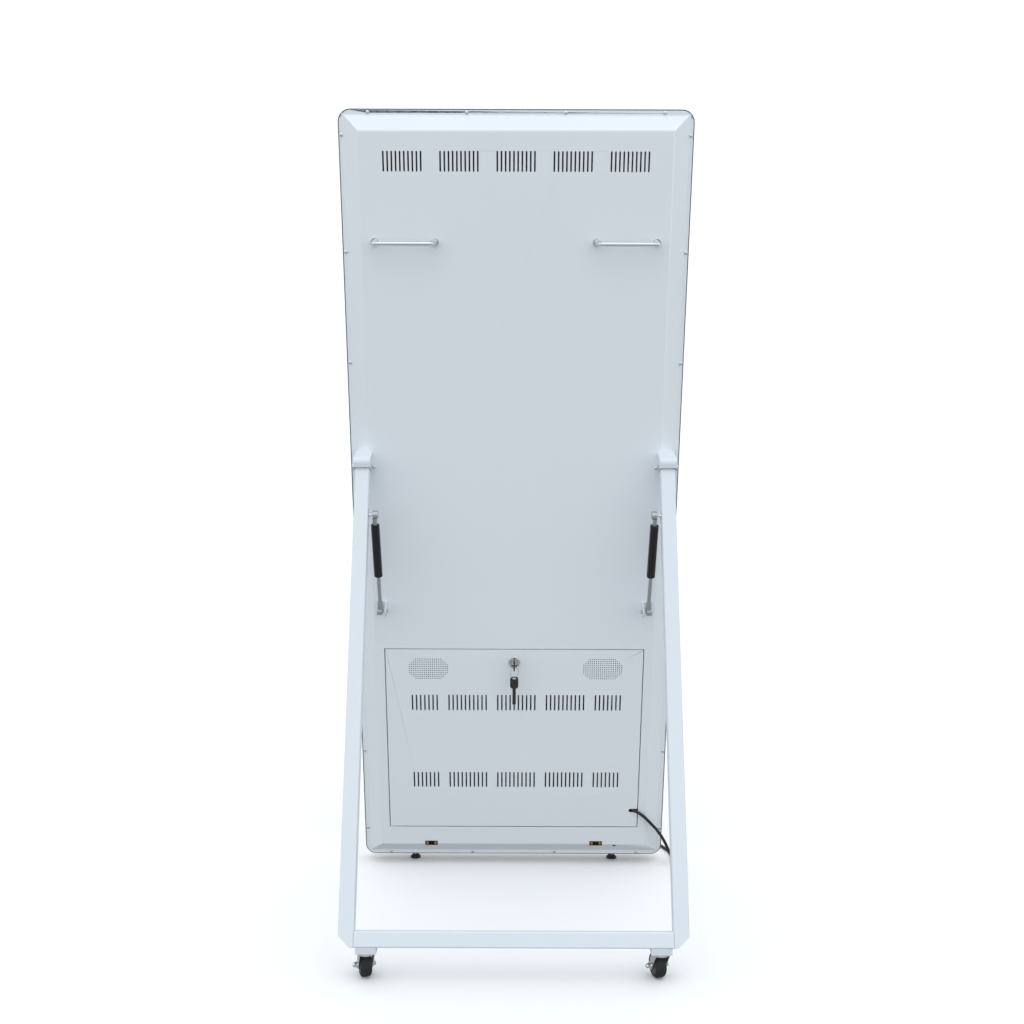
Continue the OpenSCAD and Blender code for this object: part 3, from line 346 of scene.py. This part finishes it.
def strap(name, width, height, band, thick, radius=3.0, steps=6):
    """A flat band bent round a rectangle with rounded corners."""
    shape = bmesh.new()
    rings = []
    for inset in (0.0, thick):
        outline = []
        for quarter, (sx, sy) in enumerate(((1, 1), (-1, 1), (-1, -1), (1, -1))):
            for k in range(steps + 1):
                angle = math.pi / 2 * (quarter + k / steps)
                bend = radius - inset
                outline.append((sx * (width / 2 - radius) + bend * math.cos(angle),
                                sy * (height / 2 - radius) + bend * math.sin(angle)))
        for along in (-band / 2, band / 2):
            rings.append([shape.verts.new((along * MM, y * MM, z * MM)) for y, z in outline])
    count = len(rings[0])
    for a, b in ((0, 1), (1, 3), (3, 2), (2, 0)):
        for k in range(count):
            shape.faces.new((rings[a][k], rings[a][(k + 1) % count],
                             rings[b][(k + 1) % count], rings[b][k]))
    bmesh.ops.bevel(shape, geom=[e for e in shape.edges if e.calc_face_angle(0) > 1.2],
                    offset=0.25 * MM, segments=2, affect="EDGES")
    return mesh_from(name, shape)


strap_mesh = strap("strap", width=17.2, height=23.6, band=12, thick=1.2)
strap_mesh.transform(Matrix.Translation(
    (COIL_MIDDLE + Vector((0, (OUTER_TURN + INNER_TURN) / 2, STRAP_CENTRE_UP))) * MM))
cord_strap = place("coil_strap", strap_mesh, "panel", stands_for=["cord_tie"])

# %% [markdown]
# ## Finishes
#
# Colours are written as the sRGB hex values that a paint chart would show. Blender mixes
# light in linear values, so one function converts them.


# %% Colour and node helpers
def colour(hex_code):
    """Linear RGBA from an sRGB hex code."""
    parts = [int(hex_code[k:k + 2], 16) / 255 for k in (1, 3, 5)]
    return (*[c / 12.92 if c <= 0.04045 else ((c + 0.055) / 1.055) ** 2.4 for c in parts], 1)


def add_node(tree, kind, inputs=None, **settings):
    """Adds one node, sets its properties, and fills or links its inputs."""
    node = tree.nodes.new(kind)
    for key, value in settings.items():
        setattr(node, key, value)
    for socket, value in (inputs or {}).items():
        if isinstance(value, bpy.types.NodeSocket):
            tree.links.new(value, node.inputs[socket])
        else:
            node.inputs[socket].default_value = value
    return node


def new_finish(name, **shader_values):
    """An empty material with a Principled shader, its tree and object coordinates."""
    finish = bpy.data.materials.new(name)
    finish.use_nodes = True
    tree = finish.node_tree
    shader = tree.nodes["Principled BSDF"]
    for socket, value in shader_values.items():
        shader.inputs[socket.replace("_", " ")].default_value = value
    where = add_node(tree, "ShaderNodeTexCoord").outputs["Object"]
    return finish, tree, shader, where


def per_metre(size_mm):
    """Texture scale that makes one feature of a pattern this many millimetres wide."""
    return 1000 / size_mm


def two_tones(tree, shader, where, hex_code, other_hex, patch_mm, detail):
    """Lets the base colour drift between two tones in slow patches."""
    cloud = add_node(tree, "ShaderNodeTexNoise",
                     {"Vector": where, "Scale": per_metre(patch_mm), "Detail": detail})
    mix = add_node(tree, "ShaderNodeMix", {"Factor": cloud.outputs["Fac"]},
                   data_type="RGBA")
    mix.inputs["A"].default_value = colour(hex_code)
    mix.inputs["B"].default_value = colour(other_hex)
    tree.links.new(mix.outputs["Result"], shader.inputs["Base Color"])


def gloss_and_bump(tree, shader, pattern, rough_range, strength, depth_mm,
                   pattern_range=(0.0, 1.0)):
    """One pattern varies the roughness and dents the surface."""
    gloss = add_node(tree, "ShaderNodeMapRange",
                     {"Value": pattern, "From Min": pattern_range[0],
                      "From Max": pattern_range[1], "To Min": rough_range[0],
                      "To Max": rough_range[1]})
    tree.links.new(gloss.outputs["Result"], shader.inputs["Roughness"])
    bump = add_node(tree, "ShaderNodeBump",
                    {"Height": pattern, "Strength": strength,
                     "Distance": depth_mm * MM})
    tree.links.new(bump.outputs["Normal"], shader.inputs["Normal"])


# %% [markdown]
# **Powder-coated sheet steel.** Powder paint is sprayed dry and baked, which leaves a
# faint orange peel and an even satin gloss. The real dimples are about 1 mm apart; they
# are drawn at 3 mm so that they still show. A very slow change of tone keeps the large
# face from looking like plastic.


# %% Powder coat
def powder_coat(name, hex_code, shade_hex, rough):
    """Satin powder paint with a slow change of tone and an orange peel."""
    finish, tree, shader, where = new_finish(name, IOR=1.5)
    two_tones(tree, shader, where, hex_code, shade_hex, patch_mm=420, detail=3.0)
    dimples = add_node(tree, "ShaderNodeTexNoise",
                       {"Vector": where, "Scale": per_metre(3), "Detail": 2.0,
                        "Roughness": 0.4})
    gloss_and_bump(tree, shader, dimples.outputs["Fac"], (rough - 0.05, rough + 0.05),
                   strength=0.12, depth_mm=0.3)
    return finish


PANEL_WHITE = powder_coat("powder_coated_steel_cool_white", "#f0f5f9", "#ebf1f6", 0.42)
LEG_WHITE = powder_coat("powder_coated_tube_white", "#e5ebf1", "#e0e6ed", 0.38)
GRAPHITE = powder_coat("powder_coated_frame_graphite", "#63686c", "#5c6165", 0.45)
print("powder coats", PANEL_WHITE.name, LEG_WHITE.name, GRAPHITE.name)

# %% [markdown]
# **Chromed and zinc-plated steel.** Chrome is polished before plating, so it mirrors the
# room with only faint polishing marks. Zinc plate is duller, slightly blue, and clouded
# in patches a few millimetres wide.


# %% Plated metals
def plated_metal(name, hex_code, rough, spread, patch_mm):
    """Bare metal whose gloss varies in small patches."""
    finish, tree, shader, where = new_finish(name, Metallic=1.0)
    shader.inputs["Base Color"].default_value = colour(hex_code)
    patches = add_node(tree, "ShaderNodeTexNoise",
                       {"Vector": where, "Scale": per_metre(patch_mm), "Detail": 4.0})
    gloss_and_bump(tree, shader, patches.outputs["Fac"], (rough, rough + spread),
                   strength=0.05, depth_mm=0.2, pattern_range=(0.3, 0.7))
    return finish


CHROME = plated_metal("polished_chrome_plate", "#d9dde0", 0.06, 0.07, 6)
ZINC = plated_metal("bright_zinc_plate", "#b4b9bd", 0.26, 0.18, 8)
BRASS = plated_metal("brushed_brass_contact", "#c9a05a", 0.28, 0.14, 2)
print("plated metals", CHROME.name, ZINC.name, BRASS.name)

# %% [markdown]
# **Black moulded plastics, PVC and rubber.** ABS housings come from a spark-eroded mould
# with a grain of about 0.5 mm, drawn at 1.5 mm. PVC cable sheath is smoother and a little
# shiny. Tyres and feet are matt rubber with dust in the grain. Two nylons, the struts'
# lacquer and the glass use the same recipe with other values.


# %% Moulded materials
def moulded(name, hex_code, light_hex, rough, grain_mm, strength=0.25):
    """Plastic or rubber with a moulded grain and a little dust."""
    finish, tree, shader, where = new_finish(name, IOR=1.5)
    grain = add_node(tree, "ShaderNodeTexNoise",
                     {"Vector": where, "Scale": per_metre(grain_mm), "Detail": 3.0,
                      "Roughness": 0.55})
    two_tones(tree, shader, where, hex_code, light_hex, patch_mm=60, detail=4.0)
    gloss_and_bump(tree, shader, grain.outputs["Fac"], (rough - 0.08, rough + 0.08),
                   strength, depth_mm=0.2)
    return finish


BLACK_ABS = moulded("black_moulded_abs", "#141517", "#1d1e20", 0.5, 1.5)
PVC = moulded("black_pvc_cable_sheath", "#0f1112", "#191b1d", 0.42, 3.0, 0.1)
TYRE = moulded("black_rubber_tyre", "#161616", "#262625", 0.72, 1.2, 0.4)
FOOT_RUBBER = moulded("black_rubber_foot", "#121212", "#1f1f1f", 0.66, 1.2, 0.3)
GREY_NYLON = moulded("grey_nylon_hub", "#4a4c4e", "#56585a", 0.48, 1.5)
WHITE_NYLON = moulded("natural_nylon", "#e3e1d8", "#d8d5ca", 0.45, 1.5)
CYLINDER_BLACK = moulded("gloss_black_lacquer", "#050607", "#090a0b", 0.2, 5.0, 0.04)
GLASS = moulded("black_printed_glass", "#020203", "#040405", 0.07, 40.0, 0.01)
print("moulded materials ready")

# %% [markdown]
# The cord, plug and strap were made before there were finishes, so they get theirs now.

# %% Paint the cord and what is on it
power_cord.data.materials.append(PVC)
plug.data.materials.append(BLACK_ABS)
plug_pins.data.materials.append(BRASS)
cord_strap.data.materials.append(BLACK_ABS)

# %% [markdown]
# ## Finishing the CAD solids
#
# A cut or folded edge on a real part is never perfectly sharp, and it is the thin line
# of light along it that makes a render look solid. The CAD mesh is copied, its flat
# triangles are merged, and the Bevel modifier rounds every edge by a real amount.


# %% Copy a CAD solid with rounded edges
BOX_SLACK_MM = 0.3


def merged_copy(node):
    """A copy of a CAD node's mesh with its flat areas merged into single faces."""
    mesh = NODES[node].data.copy()
    mesh.name = node + "_rounded"
    mesh.transform(NODES[node].matrix_world)
    shape = bmesh.new()
    shape.from_mesh(mesh)
    bmesh.ops.remove_doubles(shape, verts=shape.verts, dist=0.002 * MM)
    bmesh.ops.dissolve_limit(shape, angle_limit=math.radians(0.5), verts=shape.verts,
                             edges=shape.edges)
    shape.to_mesh(mesh)
    shape.free()
    return mesh


def even_normals(piece, sharp_above=28):
    """Shades large flat faces truly flat and lets only the small ones bend the light."""
    mark_sharp(piece.data, sharp_above)
    modifier = piece.modifiers.new("even", "WEIGHTED_NORMAL")
    modifier.keep_sharp = True
    modifier.weight = 100
    settled(piece)


def grown(mesh, node):
    """How far a mesh in world coordinates reaches past the CAD node's box, in mm."""
    low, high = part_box(node)
    points = [v.co for v in mesh.vertices]
    past = [max(low[k] - min(p[k] for p in points), max(p[k] for p in points) - high[k])
            for k in range(3)]
    return max(past) / MM


def second_finish(piece, material, is_there):
    """Gives the faces whose centre passes a test another finish."""
    piece.data.materials.append(material)
    for face in piece.data.polygons:
        if is_there(face.center):
            face.material_index = 1


def soften(piece, node, width, segments, limit, angle=35):
    """Bevels a piece, and falls back to a gentler way if the result leaves its box."""
    plain = piece.data.copy()
    for way in ("free", "clamped", "none"):
        piece.data = plain.copy()
        if way != "none":
            bevel = piece.modifiers.new("edges", "BEVEL")
            bevel.width = width
            bevel.segments = segments
            bevel.limit_method = limit
            bevel.angle_limit = math.radians(angle)
            bevel.use_clamp_overlap = way == "clamped"
            bevel.miter_outer = "MITER_ARC"
            settled(piece)
        if grown(piece.data, node) < BOX_SLACK_MM:
            break
    if way != "free":
        print("bevel", way, "on", node)
    even_normals(piece)
    return piece


def rounded(node, material, radius_mm, segments=2, from_angle=35):
    """Replaces a CAD node by a copy whose edges are rounded."""
    piece = place(node + "_rounded", merged_copy(node), NODE_BODY[node],
                  material, [node], smooth_below=180)
    return soften(piece, node, radius_mm * MM, segments, "ANGLE", from_angle)


# %% [markdown]
# Pieces that are hidden inside, or too small for their edges to show, keep their CAD
# mesh and only get a finish.


# %% Repaint the solids that keep their CAD shape
def repaint(material, *nodes):
    """Sets every material slot of the CAD nodes to one finish."""
    for node in nodes:
        mesh = NODES[node].data
        if not mesh.materials:
            mesh.materials.append(material)
        for index in range(len(NODES[node].material_slots)):
            NODES[node].material_slots[index].material = material


repaint(BLACK_ABS, "touch_frame", "display_panel", "mini_pc", "speaker_left",
        "speaker_right", "contact_frames")
repaint(ZINC, "display_rails", "mounting_plate", "power_supply", "door_pins", "lock_nut",
        "lock_cam", "handle_screws", "foot_sockets", "bracket_screws")
repaint(CHROME, "leg_ball_studs", "tab_ball_studs")
repaint(WHITE_NYLON, "leg_plugs", "pivot_bushes")
repaint(BRASS, "contact_bars")
repaint(PVC, "cord_grommet")
print("repainted")

# %% [markdown]
# ## Panel, door and stand
#
# The rear shell is one sheet, folded in a press brake. Its long folds have a radius of a
# few millimetres, while the punched vents and holes are nearly sharp. A Bevel modifier
# that reads edge weights gives each kind of edge its own radius in one pass.

# %% Rear shell with soft folds
FOLD_RADIUS = 3.0
PUNCHED_RADIUS = 0.3
FOLD_TURNS = (20, 60)  # degrees between two sheet faces on either side of a fold
FOLD_MIN_LENGTH = 300 * MM
shell_mesh = merged_copy("rear_shell")
shell_shape = bmesh.new()
shell_shape.from_mesh(shell_mesh)
weights = shell_shape.edges.layers.float.new("bevel_weight_edge")
folds = 0
for edge in shell_shape.edges:
    turn = math.degrees(edge.calc_face_angle(0)) if len(edge.link_faces) == 2 else 0
    if FOLD_TURNS[0] < turn < FOLD_TURNS[1] and edge.calc_length() > FOLD_MIN_LENGTH:
        edge[weights] = 1.0
        folds += 1
    elif turn > FOLD_TURNS[1]:
        edge[weights] = PUNCHED_RADIUS / FOLD_RADIUS
shell_shape.to_mesh(shell_mesh)
shell_shape.free()
shell = place("rear_shell_folded", shell_mesh, "panel", PANEL_WHITE,
              ["rear_shell"], smooth_below=180)
soften(shell, "rear_shell", FOLD_RADIUS * MM, 4, "WEIGHT")
print("folds rounded", folds)

# %% [markdown]
# Everything else that shows gets one radius per piece. A gas strut's cylinder is
# lacquered, but its end fitting is zinc, so the faces near the ball take that finish.

# %% Rounded sheet metal, tubes and glass
STRUT_BALL = (291, 104.6, 880.7)  # on the panel, in millimetres; mirrored for the right
FITTING_LENGTH = 24.8 * MM

rounded("front_frame", GRAPHITE, 0.8)
rounded("front_glass", GLASS, 0.6)
rounded("access_door", PANEL_WHITE, 0.25)
rounded("door_frame", PANEL_WHITE, 0.25)
rounded("strut_tabs", LEG_WHITE, 0.4)
for side in ("left", "right"):
    rounded("pivot_bracket_" + side, LEG_WHITE, 0.5)
    rounded("stand_leg_" + side, LEG_WHITE, 0.5)
    rounded("handle_" + side, CHROME, 0.4, from_angle=50)
    cylinder = rounded("strut_cylinder_" + side, CYLINDER_BLACK, 0.8)
    across, out, up = STRUT_BALL
    ball = on_panel(across if side == "left" else -across, out, up)
    second_finish(cylinder, ZINC, lambda centre: (centre - ball).length < FITTING_LENGTH)
    rounded("strut_rod_" + side, ZINC, 0.5)
    rounded("castor_fork_" + side, CHROME, 0.4)
    rounded("castor_axle_" + side, CHROME, 0.3)
    rounded("foot_pad_" + side, FOOT_RUBBER, 0.8)
    rounded("foot_stud_" + side, CHROME, 0.3)
rounded("stand_crossbar", LEG_WHITE, 0.4)
rounded("castor_pads", LEG_WHITE, 0.4)

# %% [markdown]
# ## Screws
#
# The flange is held by pan-head machine screws with a cross recess. A head is turned from
# its side profile, and a Boolean modifier presses the cross into it, as a punch does in
# the factory. One finished head is then set down wherever the CAD has a screw.


# %% Turn a profile round an axis
def turned(name, profile, sides=48):
    """A closed shape of revolution round +Y from (radius, along) pairs in millimetres."""
    shape = bmesh.new()
    rings = []
    for radius, along in profile:
        if radius < 1e-6:
            rings.append([shape.verts.new((0, along * MM, 0))])
        else:
            rings.append([shape.verts.new((radius * MM * math.cos(a), along * MM,
                                           radius * MM * math.sin(a)))
                          for a in (2 * math.pi * k / sides for k in range(sides))])
    for a, b in zip(rings, rings[1:]):
        for k in range(sides):
            j = (k + 1) % sides
            corners = [a[k % len(a)], a[j % len(a)], b[j % len(b)], b[k % len(b)]]
            shape.faces.new(list(dict.fromkeys(corners)))
    return mesh_from(name, shape)


# %% [markdown]
# Three heads, each with its cross turned another way, are enough to keep the row of
# screws from looking copied.

# %% Cross-recess screw head
RIM_HEIGHT = 0.9
CROSS_WIDTH = 0.9
CROSS_DEPTH = 1.3
DOME_STEPS = 6


def screw_head(name, radius, height, turn):
    """A domed head with a pressed cross, standing on the plane y = 0."""
    profile = [(0, 0), (radius - 0.25, 0), (radius, 0.3), (radius, RIM_HEIGHT)]
    for k in range(1, DOME_STEPS):
        angle = math.pi / 2 * k / DOME_STEPS
        profile.append((radius * math.cos(angle),
                        RIM_HEIGHT + (height - RIM_HEIGHT) * math.sin(angle)))
    profile.append((0, height))
    head = in_scene(name, turned(name, profile, 40))
    cutter_shape = bmesh.new()
    cross_length = radius * 0.95
    for wide, deep in ((cross_length, CROSS_WIDTH), (CROSS_WIDTH, cross_length)):
        add_block(cutter_shape,
                  (-wide / 2 * MM, (height - CROSS_DEPTH) * MM, -deep / 2 * MM),
                  (wide / 2 * MM, (height + 2) * MM, deep / 2 * MM))
    cutter_mesh = mesh_from(name + "_cutter", cutter_shape)
    cutter_mesh.transform(Matrix.Rotation(turn, 4, "Y"))
    cutter = in_scene(name + "_cutter", cutter_mesh)
    press = head.modifiers.new("press", "BOOLEAN")
    press.object = cutter
    press.use_self = True
    mesh = settled(head)
    bpy.data.objects.remove(head)
    bpy.data.objects.remove(cutter)
    return mesh


def scatter(name, meshes, places, body, material, stands_for=()):
    """Joins copies of meshes, each moved by its own matrix, into one piece."""
    shape = bmesh.new()
    for index, matrix in enumerate(places):
        copy = meshes[index % len(meshes)].copy()
        copy.transform(matrix)
        shape.from_mesh(copy)
        bpy.data.meshes.remove(copy)
    mesh = bpy.data.meshes.new(name)
    shape.to_mesh(mesh)
    shape.free()
    return place(name, mesh, body, material, stands_for, smooth_below=32)


def panel_spot(x, out, up):
    """Matrix that stands a turned part on the panel, pointing out of its rear."""
    return PANEL @ Matrix.Translation((x * MM, out * MM, up * MM))


SIDE_SCREWS = [1631 - 226 * k for k in range(7)] + [71]
SIDE_SCREW_X = 343.4
END_SCREWS = [-291, -97, 97, 291]
END_SCREW_UP = (6.6, 1673.4)
HEAD_RADIUS, HEAD_HEIGHT, HEAD_LIFT = 3.7, 2.6, 0.02
spots = [(side * SIDE_SCREW_X, up) for side in (-1, 1) for up in SIDE_SCREWS]
spots += [(x, up) for x in END_SCREWS for up in END_SCREW_UP]
heads = [screw_head("pan_head_%d" % k, HEAD_RADIUS, HEAD_HEIGHT, 0.5 * k) for k in range(3)]
scatter("flange_screw_heads", heads, [panel_spot(x, HEAD_LIFT, up) for x, up in spots],
        "panel", CHROME, ["shell_screws"])
print("screws", len(spots))

# %% [markdown]
# ## Castor wheels
#
# A small twin-shield castor wheel is a nylon hub with a rubber tyre moulded on. Both are
# turned from a profile, the way they are drawn for the mould.


# %% Wheels
def both_halves(half):
    """A closed profile from the half of it that lies below the wheel's middle plane."""
    return [*half, *[(r, -along) for r, along in reversed(half) if along], half[0]]


TYRE_PROFILE = both_halves(
    [(15.5, -9.5), (17.5, -10.6), (19.5, -10.8), (21.5, -9.6), (23, -7.4), (23.8, -4.4),
     (24, 0)])
HUB_PROFILE = both_halves(
    [(3.2, -12), (6.2, -12), (6.8, -11.4), (6.8, -9.2), (7.6, -8.6), (13, -8.6),
     (13.8, -9.2), (13.8, -10.2), (14.4, -10.8), (15.6, -10.8), (15.9, -10.4)])
CASTOR_TURN = math.radians(15)
for side in ("left", "right"):
    low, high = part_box("castor_wheel_" + side)
    middle = (Vector(low) + Vector(high)) / 2
    turn = Matrix.Rotation(CASTOR_TURN - math.pi / 2, 4, "Z")
    for part, profile, material in (("tyre", TYRE_PROFILE, TYRE),
                                    ("hub", HUB_PROFILE, GREY_NYLON)):
        mesh = turned(part, profile, 72)
        mesh.transform(Matrix.Translation(middle) @ turn)
        stands = ["castor_wheel_" + side] if part == "tyre" else []
        place("castor_%s_%s" % (part, side), mesh, "wheel_" + side, material,
              stands, smooth_below=40)
print("wheels ready")

# %% [markdown]
# ## Lock, key and key ring
#
# A cam lock's ring is chromed zinc. Its key has a black moulded bow, and a split ring of
# spring wire goes through the bow and carries the spare. The ring is really a coil of
# two turns, so it is drawn as a short helix.

# %% Lock, keys and split ring
BLADE_LENGTH = 36.5 * MM
WIRE = 0.95 * MM
RING_TURNS = 1.94
RING_STEPS = 96
RING_LEAN = math.radians(45)

rounded("lock_barrel", CHROME, 1.6, segments=5, from_angle=50)
rounded("lock_plug", CHROME, 0.35, from_angle=50)
rounded("service_key", BLACK_ABS, 0.7, from_angle=50)
spare = rounded("spare_key", BLACK_ABS, 0.6, from_angle=50)
blade_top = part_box("spare_key")[0][2] + BLADE_LENGTH
second_finish(spare, ZINC, lambda centre: centre.z < blade_top)
rounded("pivot_bolts", CHROME, 0.5, from_angle=50)
ring_low, ring_high = (Vector(v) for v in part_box("key_ring"))
ring_middle = (ring_low + ring_high) / 2
ring_radius = (ring_high.z - ring_low.z) / 2 - 1 * MM
ring_turn = Matrix.Rotation(RING_LEAN, 4, "Z")
ring_points = []
for step in range(RING_STEPS + 1):
    part = step / RING_STEPS
    angle = 2 * math.pi * RING_TURNS * part
    spread = (part - 0.5) * 1.1 * MM
    local = Vector((ring_radius * math.cos(angle), spread, ring_radius * math.sin(angle)))
    ring_points.append(ring_middle + (ring_turn @ local))
split_ring = curve_piece("split_ring", ring_points, WIRE, resolution=4)
split_ring.data.materials.append(ZINC)
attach(split_ring, "keys")
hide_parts("key_ring")
print("key ring radius", round(ring_radius, 4))

# %% [markdown]
# ## Light and floor
#
# The object stands in a white studio. The surround is bright above the horizon and dark
# below it, so faces that look up are light and the lower bevel is in shade, and chrome
# gets its darker lower half. The pale floor is seen, but throws no light back up: what
# metal mirrors from below is a grey card under it. One large soft light overhead makes the
# top of the panel a little brighter than its foot.



# %% Floor and reflector card
def flat_square(name, half_side, finish):
    """A level square that belongs to the studio and not to the object."""
    shape = bmesh.new()
    bmesh.ops.create_grid(shape, x_segments=1, y_segments=1, size=half_side)
    square = in_scene(name, mesh_from(name, shape))
    square.data.materials.append(finish)
    return square


CARD_GLOW = 0.42
CARD_HEIGHT = -0.4
floor_finish, _, floor_shader, _ = new_finish("white_studio_floor", Roughness=0.9)
floor_shader.inputs["Base Color"].default_value = colour("#fdfdfd")
floor = flat_square("floor", 60, floor_finish)
floor.visible_diffuse = False
floor.visible_glossy = False

card_finish, _, card_shader, _ = new_finish("grey_reflector_card", Roughness=1.0)
card_shader.inputs["Base Color"].default_value = colour("#000000")
card_shader.inputs["Emission Color"].default_value = colour("#ffffff")
card_shader.inputs["Emission Strength"].default_value = CARD_GLOW
card = flat_square("reflector_card", 6, card_finish)
card.location.z = CARD_HEIGHT
card.visible_camera = False
card.visible_diffuse = False
card.visible_shadow = False
print("floor and card ready")

# %% [markdown]
# The surround's strength follows the height of the direction that is looked in: it
# rises from a low value to a high one across a band just under the horizon.

# %% Sky and overhead light
SKY_BAND = (-0.30, -0.03)
SKY_STRENGTH = (0.32, 1.17)
world = bpy.data.worlds.new("studio")
world.use_nodes = True
sky_tree = world.node_tree
height = add_node(sky_tree, "ShaderNodeSeparateXYZ",
                  {"Vector": add_node(sky_tree, "ShaderNodeTexCoord").outputs["Generated"]})
bright = add_node(sky_tree, "ShaderNodeMapRange",
                  {"Value": height.outputs["Z"],
                   "From Min": SKY_BAND[0], "From Max": SKY_BAND[1],
                   "To Min": SKY_STRENGTH[0], "To Max": SKY_STRENGTH[1]})
sky = sky_tree.nodes["Background"]
sky.inputs["Color"].default_value = colour("#f6fbff")
sky_tree.links.new(bright.outputs["Result"], sky.inputs["Strength"])
bpy.context.scene.world = world
bpy.context.scene.view_settings.view_transform = "Standard"


def soft_light(name, size, power, position, target):
    """A square area light that points at a target."""
    data = bpy.data.lights.new(name, "AREA")
    data.size = size
    data.energy = power
    light = in_scene(name, data)
    light.location = position
    aim = Vector(target) - Vector(position)
    light.rotation_mode = "QUATERNION"
    light.rotation_quaternion = aim.to_track_quat("-Z", "Y")
    return light


soft_light("overhead", size=2.4, power=6, position=(0, 1.5, 3.6), target=(0, 0, 1.3))
print("studio ready")
